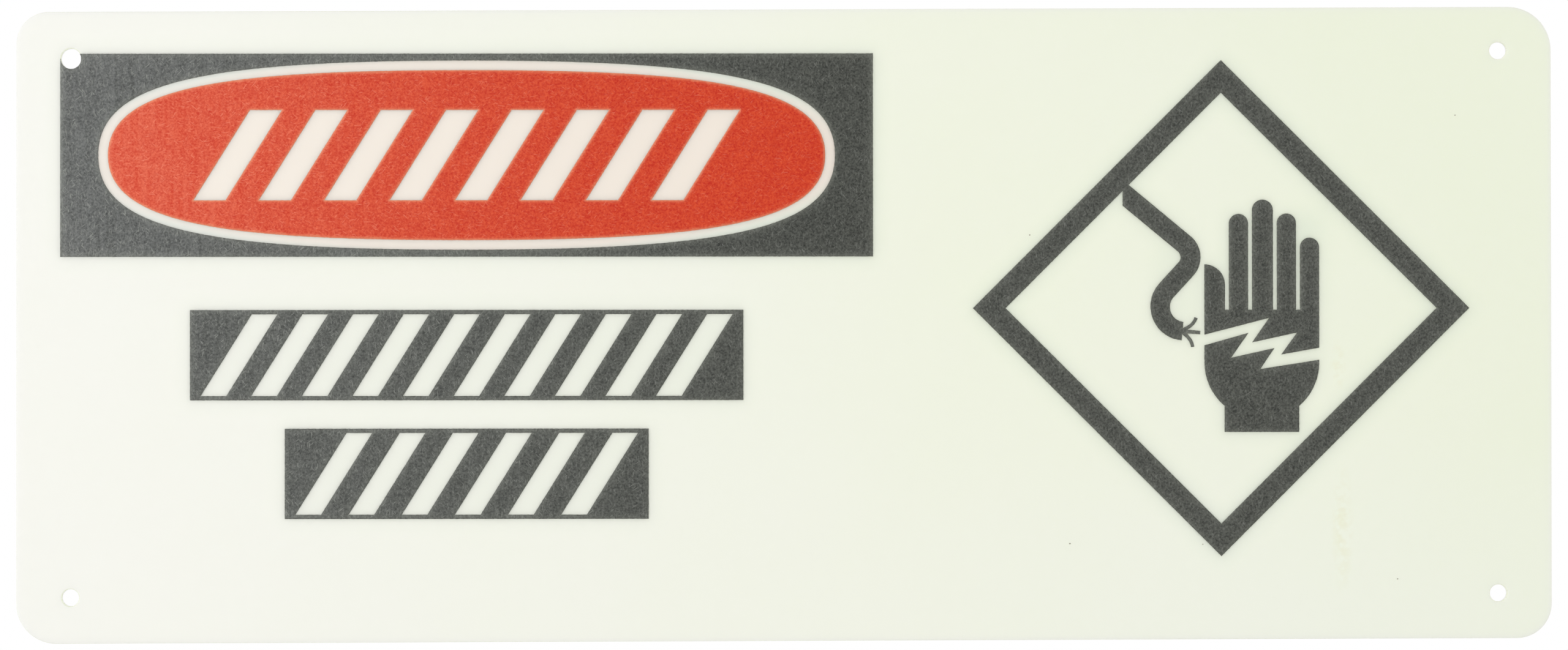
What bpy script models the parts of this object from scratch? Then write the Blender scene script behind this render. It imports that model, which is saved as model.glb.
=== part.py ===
"""High voltage warning sign, modelled for Blender 4.5 in metres with +Z up.

A thin plastic sheet with rounded corners and four screw holes carries flat print on its front face:
a dark header panel round a red oval field, two striped caption bands, and a diamond that frames
a frayed wire and a struck hand. The words of such a sign are replaced by plain slanted stripes.

The sheet's back face lies on the XZ plane with its centre at the origin, and the front faces -Y.
"""

import math

import bmesh
import bpy
import numpy as np
from mathutils import Matrix

# Sheet, cut a little out of square: its top and bottom edges climb by the rise from left to right
SHEET_WIDTH = 0.4318
SHEET_HEIGHT = 0.1778
SHEET_RISE = 0.0013
SHEET_THICKNESS = 0.0015
SHEET_EDGE_ROUND = 0.00015

# Corner radii of the sheet, each a little different
RADIUS_TOP_LEFT = 0.0090
RADIUS_TOP_RIGHT = 0.0122
RADIUS_BOTTOM_RIGHT = 0.0098
RADIUS_BOTTOM_LEFT = 0.0113

# Screw holes: in from the side, in from the top or bottom edge, and diameter
HOLE_TOP_LEFT = (0.0153, 0.0132, 0.0057)
HOLE_TOP_RIGHT = (0.0149, 0.0123, 0.0048)
HOLE_BOTTOM_RIGHT = (0.0150, 0.0127, 0.0048)
HOLE_BOTTOM_LEFT = (0.0152, 0.0129, 0.0048)

# Print, square with the sheet's sides
INK_THICKNESS = 0.0001

# Header panel: in from the sheet's left side and top, its margins round the ring, and its gap on the right
HEADER_IN_FROM_SIDE = 0.0123
HEADER_IN_FROM_TOP = 0.0124
HEADER_SIDE_MARGIN = 0.0107
HEADER_EDGE_MARGIN = 0.00195
HEADER_GAP_TO_DIAMOND = 0.0281

# Oval: the red field, the bare ring round it, and how far the curves' handles reach along each half axis
OVAL_HEIGHT = 0.0479
OVAL_HANDLES = (0.659, 0.827)
RING_WIDTH = 0.0027
RING_HANDLES = (0.741, 0.754)

# Slanted stripes in the places of the words: in the oval they keep a margin at each end
STRIPE_ZONE_HEIGHT = 0.0254
STRIPE_SLANT_DEGREES = 32.0
OVAL_STRIPE_WIDTH = 0.0090
OVAL_STRIPE_PITCH = 0.0184
OVAL_STRIPE_MARGIN = 0.02405

# Caption bands: edge rail, end bar and stripes, then each band's width and its gap to the print above it
CAPTION_RAIL = 0.0012
CAPTION_END_BAR = 0.0030
CAPTION_STRIPE_WIDTH = 0.0072
CAPTION_STRIPE_PITCH = 0.0146
UPPER_CAPTION_GAP = 0.0150
UPPER_CAPTION_WIDTH = 0.1556
LOWER_CAPTION_GAP = 0.0080
LOWER_CAPTION_WIDTH = 0.1023

# Warning diamond: in from the sheet's right side, its centre's height, its band and the wrist's clearance
DIAMOND_IN_FROM_SIDE = 0.0231
DIAMOND_Z = 0.0047
DIAMOND_BAND = 0.0065
DIAMOND_CLEARANCE = 0.0027

# Wire inside the diamond: its centre line, from the diamond's centre, and its frayed end
WIRE_WIDTH = 0.0056
WIRE_TIP_WIDTH = 0.0052
WIRE_CUT_X = -0.0277
WIRE_START = (-0.0246, 0.0299)
WIRE_START_HEADING = -39.7
WIRE_FIRST_RUN = 0.0185
WIRE_ELBOW_RADIUS = 0.0049
WIRE_ELBOW_TURN = -92.7
WIRE_SECOND_RUN = 0.0081
WIRE_HOOK_RADIUS = 0.0069
WIRE_HOOK_TURN = 127.1

# Bare strands: they fan out from a point inside the wire's end, run straight together and then curl apart
STRAND_WIDTH = 0.00095
STRAND_FAN_DEPTH = 0.0005
STRAND_STRAIGHT = 0.0019
STRAND_LENGTHS = (0.0059, 0.0055, 0.0058)
STRAND_SPREADS = (31.0, 1.0, -34.0)
STRAND_CURLS = (44.0, -2.0, -42.0)

# Hand: the left side and the webs between the fingers, from the diamond's centre
HAND_LEFT = -0.0047
HAND_WEB_Z = -0.0005
FINGER_GAP = 0.0011
THUMB_WIDTH = 0.0058
THUMB_LENGTH = 0.0128
FINGER_WIDTHS = (0.0054, 0.0059, 0.0054, 0.0054)
FINGER_LENGTHS = (0.0270, 0.0310, 0.0271, 0.0203)
PALM_DEPTH = 0.0148
WRIST_WIDTH = 0.0210
WRIST_DEPTH = 0.0344

# Lightning gap across the palm: rise at each side, then the corners between, from the left side and the webs
BOLT_UPPER_LEFT = -0.0070
BOLT_UPPER_RIGHT = -0.0107
BOLT_UPPER_CORNERS = ((0.0182, -0.0023), (0.0134, -0.0092), (0.0261, -0.0064), (0.0216, -0.0126))
BOLT_LOWER_LEFT = -0.0100
BOLT_LOWER_RIGHT = -0.0141
BOLT_LOWER_CORNERS = ((0.0124, -0.0065), (0.0075, -0.0135), (0.0197, -0.0108), (0.0157, -0.0167))

# The palm is as wide as the thumb, the fingers and the gaps between them
PALM_WIDTH = THUMB_WIDTH + sum(FINGER_WIDTHS) + len(FINGER_WIDTHS) * FINGER_GAP

# Half diagonals of the diamond, whose inner edges clear the lower right corner of the wrist
WRIST_REACH = HAND_LEFT + (PALM_WIDTH + WRIST_WIDTH) / 2 + WRIST_DEPTH - HAND_WEB_Z
DIAMOND_INNER = WRIST_REACH + DIAMOND_CLEARANCE * math.sqrt(2)
DIAMOND_OUTER = DIAMOND_INNER + DIAMOND_BAND * math.sqrt(2)

# The header takes the width that the diamond leaves, and the oval with its ring lies inside it
DIAMOND_ROOM = HEADER_GAP_TO_DIAMOND + 2 * DIAMOND_OUTER + DIAMOND_IN_FROM_SIDE
HEADER_WIDTH = SHEET_WIDTH - HEADER_IN_FROM_SIDE - DIAMOND_ROOM
HEADER_HEIGHT = OVAL_HEIGHT + 2 * RING_WIDTH + 2 * HEADER_EDGE_MARGIN
OVAL_WIDTH = HEADER_WIDTH - 2 * HEADER_SIDE_MARGIN - 2 * RING_WIDTH

# Facets: degrees between the points of an arc, and points on each quarter of an oval
ARC_STEP_DEGREES = 7.5
OVAL_RESOLUTION = 24
WELD_DISTANCE = 0.000001

# Plates are drawn flat and stood up by this exact turn, so that faces that touch share one plane
UPRIGHT = Matrix(((1, 0, 0, 0), (0, 0, -1, 0), (0, 1, 0, 0), (0, 0, 0, 1)))


def clear_scene():
    """Remove every object, so that the file holds only the sign."""
    for old in list(bpy.data.objects):
        bpy.data.objects.remove(old, do_unlink=True)


def make_collection(name):
    """Add a collection to the scene."""
    collection = bpy.data.collections.new(name)
    bpy.context.scene.collection.children.link(collection)
    return collection


def make_material(name, colour, roughness):
    """A plastic or ink surface of one colour, which the viewport shows too."""
    material = bpy.data.materials.new(name)
    material.use_nodes = True
    material.diffuse_color = (*colour, 1.0)
    surface = material.node_tree.nodes["Principled BSDF"]
    surface.inputs["Base Color"].default_value = (*colour, 1.0)
    surface.inputs["Roughness"].default_value = roughness
    surface.inputs["Metallic"].default_value = 0.0
    return material


def arc(centre, radius, start, end):
    """Points on an arc between two angles in degrees, both ends included."""
    steps = max(2, math.ceil(abs(end - start) / ARC_STEP_DEGREES))
    angles = np.radians(np.linspace(start, end, steps + 1))
    x = centre[0] + radius * np.cos(angles)
    z = centre[1] + radius * np.sin(angles)
    return list(zip(x, z))


def circle(centre, radius):
    """Points on a full circle, each once."""
    return arc(centre, radius, 0, 360)[:-1]


def rectangle(width, height):
    """Corners of a rectangle round the origin."""
    x = width / 2
    z = height / 2
    return [(-x, -z), (x, -z), (x, z), (-x, z)]


def flat_curve(name):
    """An empty filled 2D curve, ready for its outlines."""
    curve = bpy.data.curves.new(name, "CURVE")
    curve.dimensions = "2D"
    curve.fill_mode = "BOTH"
    return curve


def add_outline(curve, points):
    """Add a closed outline of straight edges: the first is the rim, and those inside it are openings."""
    spline = curve.splines.new("POLY")
    spline.points.add(len(points) - 1)
    for knot, (x, z) in zip(spline.points, points):
        knot.co = (x, z, 0, 1)
    spline.use_cyclic_u = True


def add_oval(curve, width, height, handles):
    """Add a closed oval of four curved quarters, whose handles reach a share of each half axis."""
    x = width / 2
    z = height / 2
    reach_x = handles[0] * x
    reach_z = handles[1] * z
    ends = ((x, 0, 0, reach_z), (0, z, -reach_x, 0), (-x, 0, 0, -reach_z), (0, -z, reach_x, 0))
    spline = curve.splines.new("BEZIER")
    spline.bezier_points.add(len(ends) - 1)
    for knot, (px, pz, hx, hz) in zip(spline.bezier_points, ends):
        knot.handle_left_type = "FREE"
        knot.handle_right_type = "FREE"
        knot.co = (px, pz, 0)
        knot.handle_left = (px - hx, pz - hz, 0)
        knot.handle_right = (px + hx, pz + hz, 0)
    spline.use_cyclic_u = True
    spline.resolution_u = OVAL_RESOLUTION


def make_plate(curve, thickness, collection, edge_round=0.0):
    """Turn a flat curve into an upright plate whose back lies at y = 0 and whose front faces -Y."""
    curve.extrude = thickness / 2 - edge_round
    curve.bevel_depth = edge_round
    curve.bevel_resolution = 1
    curve.offset = -edge_round
    drawing = bpy.data.objects.new(curve.name, curve)
    collection.objects.link(drawing)
    evaluated = drawing.evaluated_get(bpy.context.evaluated_depsgraph_get())
    mesh = bpy.data.meshes.new_from_object(evaluated)
    bpy.data.objects.remove(drawing, do_unlink=True)
    mesh.transform(UPRIGHT @ Matrix.Translation((0, 0, thickness / 2)))
    shape = bmesh.new()
    shape.from_mesh(mesh)
    bmesh.ops.remove_doubles(shape, verts=shape.verts, dist=WELD_DISTANCE)
    bmesh.ops.recalc_face_normals(shape, faces=shape.faces)
    shape.to_mesh(mesh)
    shape.free()
    plate = bpy.data.objects.new(curve.name, mesh)
    collection.objects.link(plate)
    return plate


def finish(plate, material, parent=None, place=(0.0, 0.0, 0.0)):
    """Give a plate its material and set it in its parent's frame."""
    plate.data.materials.clear()
    plate.data.materials.append(material)
    plate.parent = parent
    plate.location = place


def slope(points):
    """Lift points with the climb of the sheet's top and bottom edges."""
    return [(x, z + x * SHEET_RISE / SHEET_WIDTH) for x, z in points]


def hole_place(hole, side, level):
    """A hole's centre on the sheet, from its insets: side is 1 at the right, and level is 1 at the top."""
    square = (side * (SHEET_WIDTH / 2 - hole[0]), level * (SHEET_HEIGHT / 2 - hole[1]))
    return slope([square])[0]


def make_sheet(collection):
    """The sheet: a sloping rectangle with its own radius at each corner, four holes and softened edges."""
    half_width = SHEET_WIDTH / 2
    half_height = SHEET_HEIGHT / 2
    corners = (
        (1, 1, 0, RADIUS_TOP_RIGHT),
        (-1, 1, 90, RADIUS_TOP_LEFT),
        (-1, -1, 180, RADIUS_BOTTOM_LEFT),
        (1, -1, 270, RADIUS_BOTTOM_RIGHT),
    )
    rim = []
    for side, level, start, radius in corners:
        centre = (side * (half_width - radius), level * (half_height - radius))
        rim += arc(centre, radius, start, start + 90)
    curve = flat_curve("sign_sheet")
    add_outline(curve, slope(rim))
    holes = (
        (HOLE_TOP_LEFT, -1, 1),
        (HOLE_TOP_RIGHT, 1, 1),
        (HOLE_BOTTOM_RIGHT, 1, -1),
        (HOLE_BOTTOM_LEFT, -1, -1),
    )
    for hole, side, level in holes:
        add_outline(curve, circle(hole_place(hole, side, level), hole[2] / 2))
    return make_plate(curve, SHEET_THICKNESS, collection, SHEET_EDGE_ROUND)


def make_header(collection):
    """The dark panel, open where the oval and its bare ring show the sheet."""
    curve = flat_curve("header_panel")
    add_outline(curve, rectangle(HEADER_WIDTH, HEADER_HEIGHT))
    add_oval(curve, OVAL_WIDTH + 2 * RING_WIDTH, OVAL_HEIGHT + 2 * RING_WIDTH, RING_HANDLES)
    return make_plate(curve, INK_THICKNESS, collection)


def make_hole_cutter(collection):
    """A plug through the top left hole that also takes the print's loose corner beyond it."""
    radius = HOLE_TOP_LEFT[2] / 2
    reach = HEADER_HEIGHT / 2
    outline = [(-reach, 0), (-reach, reach), (0, reach)]
    outline += arc((0, 0), radius, 90, -180)
    curve = flat_curve("hole_cutter")
    add_outline(curve, outline)
    cutter = make_plate(curve, SHEET_THICKNESS, collection)
    x, z = hole_place(HOLE_TOP_LEFT, -1, 1)
    cutter.location = (x, -SHEET_THICKNESS / 2, z)
    cutter.hide_render = True
    cutter.display_type = "WIRE"
    return cutter


def cut(plate, cutter):
    """Take the cutter's shape out of a plate."""
    boolean = plate.modifiers.new("cut_" + cutter.name, "BOOLEAN")
    boolean.operation = "DIFFERENCE"
    boolean.solver = "EXACT"
    boolean.object = cutter


def add_slanted_openings(curve, length, height, width, pitch):
    """Add openings with slanted sides, spread evenly along a zone round the origin at about the pitch."""
    lean = height * math.tan(math.radians(STRIPE_SLANT_DEGREES)) / 2
    foot = width / 2
    last = length / 2 - lean - foot
    gaps = round(2 * last / pitch)
    for centre in np.linspace(-last, last, gaps + 1):
        corners = [(centre - lean - foot, -height / 2), (centre - lean + foot, -height / 2)]
        corners += [(centre + lean + foot, height / 2), (centre + lean - foot, height / 2)]
        add_outline(curve, corners)


def make_oval(collection):
    """The red field, with slanted openings that let the pale sheet through."""
    curve = flat_curve("oval_field")
    add_oval(curve, OVAL_WIDTH, OVAL_HEIGHT, OVAL_HANDLES)
    length = OVAL_WIDTH - 2 * OVAL_STRIPE_MARGIN
    add_slanted_openings(curve, length, STRIPE_ZONE_HEIGHT, OVAL_STRIPE_WIDTH, OVAL_STRIPE_PITCH)
    return make_plate(curve, INK_THICKNESS, collection)


def make_caption(name, width, collection):
    """A dark band with slanted openings between its rails and end bars."""
    curve = flat_curve(name)
    add_outline(curve, rectangle(width, STRIPE_ZONE_HEIGHT))
    length = width - 2 * CAPTION_END_BAR
    height = STRIPE_ZONE_HEIGHT - 2 * CAPTION_RAIL
    add_slanted_openings(curve, length, height, CAPTION_STRIPE_WIDTH, CAPTION_STRIPE_PITCH)
    return make_plate(curve, INK_THICKNESS, collection)


def follow(start, heading, moves):
    """Walk a path of straight runs and bends: its points, its headings in radians and its length so far.

    A move is a run's length with no turn, or a bend's radius with its turn in degrees, left positive.
    """
    points = [np.array(start)]
    headings = [math.radians(heading)]
    for size, turn in moves:
        if turn == 0:
            ahead = np.array((math.cos(headings[-1]), math.sin(headings[-1])))
            points.append(points[-1] + size * ahead)
            headings.append(headings[-1])
            continue
        side = math.copysign(math.pi / 2, turn)
        to_centre = headings[-1] + side
        centre = points[-1] + size * np.array((math.cos(to_centre), math.sin(to_centre)))
        steps = math.ceil(abs(turn) / ARC_STEP_DEGREES)
        first = headings[-1]
        for angle in np.radians(np.linspace(0, turn, steps + 1))[1:]:
            outward = first + angle - side
            points.append(centre + size * np.array((math.cos(outward), math.sin(outward))))
            headings.append(first + angle)
    points = np.array(points)
    headings = np.array(headings)
    lengths = np.concatenate(([0.0], np.cumsum(np.linalg.norm(np.diff(points, axis=0), axis=1))))
    return points, headings, lengths


def sides(points, headings, width):
    """The left and right edges of a strip along a path, for one width or a width at each point."""
    across = np.column_stack((-np.sin(headings), np.cos(headings)))
    half = np.reshape(width, (-1, 1)) / 2
    return points + across * half, points - across * half


def face_crossing(spread):
    """How far from the middle of the wire's end face the outer edge of an outer strand leaves it."""
    angle = math.radians(abs(spread))
    half = STRAND_WIDTH / 2
    along = (STRAND_FAN_DEPTH + half * math.sin(angle)) / math.cos(angle)
    return along * math.sin(angle) + half * math.cos(angle)


def frayed_end(tip, heading):
    """Outline of the bare strands at the wire's end, from its left side to its right side."""
    ahead = np.array((math.cos(heading), math.sin(heading)))
    across = np.array((-ahead[1], ahead[0]))
    fan = tip - STRAND_FAN_DEPTH * ahead
    outline = [tip + face_crossing(STRAND_SPREADS[0]) * across]
    fork = None
    for length, spread, curl in zip(STRAND_LENGTHS, STRAND_SPREADS, STRAND_CURLS):
        radius = (length - STRAND_STRAIGHT) / math.radians(abs(curl))
        moves = ((STRAND_STRAIGHT, 0), (radius, curl))
        points, headings, _ = follow(fan, math.degrees(heading) + spread, moves)
        left, right = sides(points[1:], headings[1:], STRAND_WIDTH)
        if fork is not None:
            outline.append((left[0] + fork) / 2)
        outline += list(left[1:]) + list(right[:0:-1])
        fork = right[0]
    outline.append(tip - face_crossing(STRAND_SPREADS[-1]) * across)
    return outline


def make_diamond(collection):
    """The diamond's band and the wire that hangs from its upper left side, as one rim and one opening."""
    outer = DIAMOND_OUTER
    inner = DIAMOND_INNER
    moves = (
        (WIRE_FIRST_RUN, 0),
        (WIRE_ELBOW_RADIUS, WIRE_ELBOW_TURN),
        (WIRE_SECOND_RUN, 0),
        (WIRE_HOOK_RADIUS, WIRE_HOOK_TURN),
    )
    points, headings, lengths = follow(WIRE_START, WIRE_START_HEADING, moves)
    hook_start = lengths[-1] - WIRE_HOOK_RADIUS * math.radians(WIRE_HOOK_TURN)
    widths = np.interp(lengths, (hook_start, lengths[-1]), (WIRE_WIDTH, WIRE_TIP_WIDTH))
    upper, lower = sides(points, headings, widths)

    # The upper edge runs back to the band's inner edge, where z = x + inner, and the lower edge to the cut
    ahead = np.array((math.cos(headings[0]), math.sin(headings[0])))
    back = (inner - (upper[0][1] - upper[0][0])) / (ahead[1] - ahead[0])
    upper[0] += back * ahead
    lower[0] += (WIRE_CUT_X - lower[0][0]) / ahead[0] * ahead

    opening = [(-inner, 0), (WIRE_CUT_X, WIRE_CUT_X + inner)]
    opening += list(lower)
    opening += frayed_end(points[-1], headings[-1])[::-1]
    opening += list(upper[::-1])
    opening += [(0, inner), (inner, 0), (0, -inner)]
    curve = flat_curve("warning_diamond")
    add_outline(curve, [(-outer, 0), (0, -outer), (outer, 0), (0, outer)])
    add_outline(curve, opening)
    return make_plate(curve, INK_THICKNESS, collection)


def make_hand_fingers(collection):
    """The hand above the lightning gap: a thumb with a quarter round tip and four round fingers."""
    outline = [(0, BOLT_UPPER_LEFT)]
    outline += arc((0, THUMB_LENGTH - THUMB_WIDTH), THUMB_WIDTH, 90, 0)
    x = THUMB_WIDTH
    for width, length in zip(FINGER_WIDTHS, FINGER_LENGTHS):
        outline += [(x, 0), (x + FINGER_GAP, 0)]
        x += FINGER_GAP
        radius = width / 2
        outline += arc((x + radius, length - radius), radius, 180, 0)
        x += width
    outline += [(PALM_WIDTH, BOLT_UPPER_RIGHT)]
    outline += reversed(BOLT_UPPER_CORNERS)
    curve = flat_curve("hand_fingers")
    add_outline(curve, outline)
    return make_plate(curve, INK_THICKNESS, collection)


def make_hand_heel(collection):
    """The hand below the lightning gap: a palm that rounds into the wrist."""
    radius = PALM_WIDTH / 2
    reach = math.degrees(math.acos(WRIST_WIDTH / 2 / radius))
    centre = (radius, -PALM_DEPTH)
    outline = [(0, BOLT_LOWER_LEFT), *BOLT_LOWER_CORNERS, (PALM_WIDTH, BOLT_LOWER_RIGHT)]
    outline += arc(centre, radius, 0, -reach)
    outline += [(radius + WRIST_WIDTH / 2, -WRIST_DEPTH), (radius - WRIST_WIDTH / 2, -WRIST_DEPTH)]
    outline += arc(centre, radius, reach - 180, -180)
    curve = flat_curve("hand_heel")
    add_outline(curve, outline)
    return make_plate(curve, INK_THICKNESS, collection)


def main():
    clear_scene()
    parts = make_collection("high_voltage_warning_sign")
    cutters = make_collection("cutters")
    pale_plastic = make_material("pale_plastic", (0.88, 0.90, 0.76), 0.38)
    dark_ink = make_material("dark_ink", (0.07, 0.075, 0.075), 0.55)
    red_ink = make_material("red_ink", (0.66, 0.06, 0.03), 0.50)

    sheet = make_sheet(parts)
    finish(sheet, pale_plastic)

    print_frame = bpy.data.objects.new("print_frame", None)
    parts.objects.link(print_frame)
    print_frame.empty_display_size = SHEET_HEIGHT / 4
    print_frame.location = (0.0, -SHEET_THICKNESS, 0.0)

    header_x = -SHEET_WIDTH / 2 + HEADER_IN_FROM_SIDE + HEADER_WIDTH / 2
    header_z = SHEET_HEIGHT / 2 - HEADER_IN_FROM_TOP - HEADER_HEIGHT / 2
    header = make_header(parts)
    finish(header, dark_ink, print_frame, (header_x, 0.0, header_z))
    cut(header, make_hole_cutter(cutters))
    finish(make_oval(parts), red_ink, print_frame, (header_x, 0.0, header_z))

    upper_z = header_z - HEADER_HEIGHT / 2 - UPPER_CAPTION_GAP - STRIPE_ZONE_HEIGHT / 2
    upper = make_caption("upper_caption", UPPER_CAPTION_WIDTH, parts)
    finish(upper, dark_ink, print_frame, (header_x, 0.0, upper_z))
    lower_z = upper_z - STRIPE_ZONE_HEIGHT - LOWER_CAPTION_GAP
    lower = make_caption("lower_caption", LOWER_CAPTION_WIDTH, parts)
    finish(lower, dark_ink, print_frame, (header_x, 0.0, lower_z))

    diamond_x = SHEET_WIDTH / 2 - DIAMOND_IN_FROM_SIDE - DIAMOND_OUTER
    finish(make_diamond(parts), dark_ink, print_frame, (diamond_x, 0.0, DIAMOND_Z))
    hand_place = (diamond_x + HAND_LEFT, 0.0, DIAMOND_Z + HAND_WEB_Z)
    finish(make_hand_fingers(parts), dark_ink, print_frame, hand_place)
    finish(make_hand_heel(parts), dark_ink, print_frame, hand_place)


main()
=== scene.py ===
# %% [markdown]
# # A glow plastic hazard sign
#
# The object is a thin plastic wall sign with rounded corners and four punched holes. Its print is a dark
# header with a red oval, two striped caption bands, and a diamond round a frayed wire and a struck hand. The
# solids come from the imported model. This lesson gives them their finish: a pale, slightly clear plastic that
# lets light creep sideways under the print, and two screen inks with grain, fibres and rubbing.

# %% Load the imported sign
import math

import bmesh
import bpy
import numpy as np
from mathutils.geometry import delaunay_2d_cdt
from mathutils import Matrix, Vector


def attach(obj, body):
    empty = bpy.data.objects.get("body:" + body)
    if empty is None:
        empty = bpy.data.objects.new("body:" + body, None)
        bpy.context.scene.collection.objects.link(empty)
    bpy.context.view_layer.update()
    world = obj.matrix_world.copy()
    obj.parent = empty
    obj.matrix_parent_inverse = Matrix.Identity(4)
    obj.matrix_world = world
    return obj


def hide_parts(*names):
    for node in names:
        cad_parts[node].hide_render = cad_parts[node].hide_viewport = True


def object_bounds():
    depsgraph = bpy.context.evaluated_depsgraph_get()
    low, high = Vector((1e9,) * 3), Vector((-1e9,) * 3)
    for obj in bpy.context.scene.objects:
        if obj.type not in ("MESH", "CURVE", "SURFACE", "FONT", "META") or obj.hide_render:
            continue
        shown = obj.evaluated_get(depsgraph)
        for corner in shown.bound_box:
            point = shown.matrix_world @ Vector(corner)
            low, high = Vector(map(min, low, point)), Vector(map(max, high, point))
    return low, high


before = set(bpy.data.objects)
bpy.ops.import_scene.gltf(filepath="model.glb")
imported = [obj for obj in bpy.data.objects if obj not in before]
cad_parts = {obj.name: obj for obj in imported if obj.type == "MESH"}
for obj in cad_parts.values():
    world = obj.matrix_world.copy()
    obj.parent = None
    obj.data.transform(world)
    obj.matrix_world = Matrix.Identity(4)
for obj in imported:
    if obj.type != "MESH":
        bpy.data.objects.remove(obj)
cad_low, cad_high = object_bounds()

print("nodes:", ", ".join(sorted(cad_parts)))
print("CAD box in mm:", [round(1000 * (high - low), 2) for low, high in zip(cad_low, cad_high)])

# %% [markdown]
# The photograph looks straight at the sign from about a metre away, from a hair below and to the left of its
# middle, so that the lower and left sides look a fraction longer. A camera could be placed by eye, but here
# its place follows from three named angles, and the lens from the width of the picture in the plane of the
# print.

# %% Camera
PICTURE_WIDTH = 2560
PIXELS_PER_METRE = 5804.0
CAMERA_DISTANCE = 1.0
CAMERA_ASIDE = -0.00008
CAMERA_BELOW_DEGREES = 0.36
CAMERA_LEFT_DEGREES = 0.15
CAMERA_ROLL_DEGREES = 0.042
SENSOR_MM = 36.0
FRONT_Y = cad_low.y

camera_data = bpy.data.cameras.new("photo_camera")
camera_data.sensor_width = SENSOR_MM
camera_data.lens = SENSOR_MM * CAMERA_DISTANCE * PIXELS_PER_METRE / PICTURE_WIDTH
camera = bpy.data.objects.new("photo_camera", camera_data)
bpy.context.scene.collection.objects.link(camera)
below = math.radians(CAMERA_BELOW_DEGREES)
left = math.radians(CAMERA_LEFT_DEGREES)
camera.location = (
    CAMERA_ASIDE - CAMERA_DISTANCE * math.sin(left),
    FRONT_Y - CAMERA_DISTANCE * math.cos(left) * math.cos(below),
    -CAMERA_DISTANCE * math.sin(below),
)
camera.rotation_euler = (math.radians(90) + below, math.radians(CAMERA_ROLL_DEGREES), -left)
bpy.context.scene.camera = camera
print("lens in mm:", round(camera_data.lens, 2))

# %% [markdown]
# A surface that is worked out on a grid needs only its points: the faces always join neighbours in the same
# way. These helpers turn a grid of points into quads, weld several parts into one closed shape, and turn its
# faces outwards. The printed count of open edges shows at once whether two parts fail to meet.

# %% Parts into a closed mesh
WELD_DISTANCE = 0.000002


def grid_part(grid):
    """Points and quads of a grid: each quad joins two neighbours in a row with the two in the next row."""
    rows, columns, _ = grid.shape
    corner = np.arange(rows - 1)[:, None] * columns + np.arange(columns - 1)[None, :]
    quads = np.stack((corner, corner + 1, corner + columns + 1, corner + columns), axis=-1)
    return grid.reshape(-1, 3), quads.reshape(-1, 4)


def closed_piece(name, parts, finishes):
    """Weld parts into one object. A part is its points and faces, its finish's number, and True if smooth."""
    points, faces, finish_number, smooth = [], [], [], []
    first = 0
    for (part_points, part_faces), number, is_smooth in parts:
        points.append(part_points)
        faces += (first + part_faces).tolist()
        finish_number.append(np.full(len(part_faces), number))
        smooth.append(np.full(len(part_faces), is_smooth))
        first += len(part_points)
    mesh = bpy.data.meshes.new(name)
    mesh.from_pydata(np.concatenate(points).tolist(), [], faces)
    for finish in finishes:
        mesh.materials.append(finish)
    mesh.polygons.foreach_set("material_index", np.concatenate(finish_number).astype(np.int32))
    mesh.polygons.foreach_set("use_smooth", np.concatenate(smooth))
    shape = bmesh.new()
    shape.from_mesh(mesh)
    bmesh.ops.remove_doubles(shape, verts=shape.verts, dist=WELD_DISTANCE)
    bmesh.ops.recalc_face_normals(shape, faces=shape.faces)
    open_edges = sum(1 for edge in shape.edges if not edge.is_manifold)
    shape.to_mesh(mesh)
    shape.free()
    piece = bpy.data.objects.new(name, mesh)
    bpy.context.scene.collection.objects.link(piece)
    print(f"{name}: {len(mesh.vertices)} vertices, {len(mesh.polygons)} faces, {open_edges} open edges")
    return piece


# %% [markdown]
# Colours are written as the eye reads them in a photograph, from 0 to 255, and turned into the linear values
# that a shader works with. A finish starts as a plain material with its roughness.

# %% Colour and finish


def linear(red, green, blue):
    """A colour from 0 to 255 as linear values: the sRGB curve undone."""
    share = np.array((red, green, blue)) / 255
    straight = np.where(share <= 0.04045, share / 12.92, ((share + 0.055) / 1.055) ** 2.4)
    return (*straight.tolist(), 1.0)


def new_finish(name, roughness):
    """A material with its tree of nodes and its Principled shader."""
    finish = bpy.data.materials.new(name)
    finish.use_nodes = True
    tree = finish.node_tree
    surface = tree.nodes["Principled BSDF"]
    surface.inputs["Roughness"].default_value = roughness
    return finish, tree, surface


# %% [markdown]
# Every finish here is built from the same few nodes: a pattern read in the object's own metres, a noise, a
# change of range, and a mix of two colours. Short helpers keep the materials readable. The first ones say
# where on the object a pattern is read.

# %% Patterns on the object


def add(tree, kind, **inputs):
    """Add a node, and give each named socket a value or a link from another node's output."""
    node = tree.nodes.new(kind)
    for name, value in inputs.items():
        socket = node.inputs[name.replace("_", " ")]
        if isinstance(value, bpy.types.NodeSocket):
            tree.links.new(value, socket)
        else:
            socket.default_value = value
    return node


def pattern(tree, scale=(1, 1, 1), turn=0.0, centre=(0, 0, 0)):
    """Object coordinates, moved to a centre, turned in the print's plane by degrees, and then scaled."""
    place = add(tree, "ShaderNodeTexCoord").outputs["Object"]
    moved = add(tree, "ShaderNodeMapping", Vector=place, Location=[-value for value in centre])
    turned = add(tree, "ShaderNodeMapping", Vector=moved.outputs[0], Rotation=(0, math.radians(turn), 0))
    return add(tree, "ShaderNodeMapping", Vector=turned.outputs[0], Scale=scale).outputs[0]


def along(tree, axis):
    """A place on the object along one of its axes, in metres."""
    return add(tree, "ShaderNodeSeparateXYZ", Vector=pattern(tree)).outputs[axis]


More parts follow.
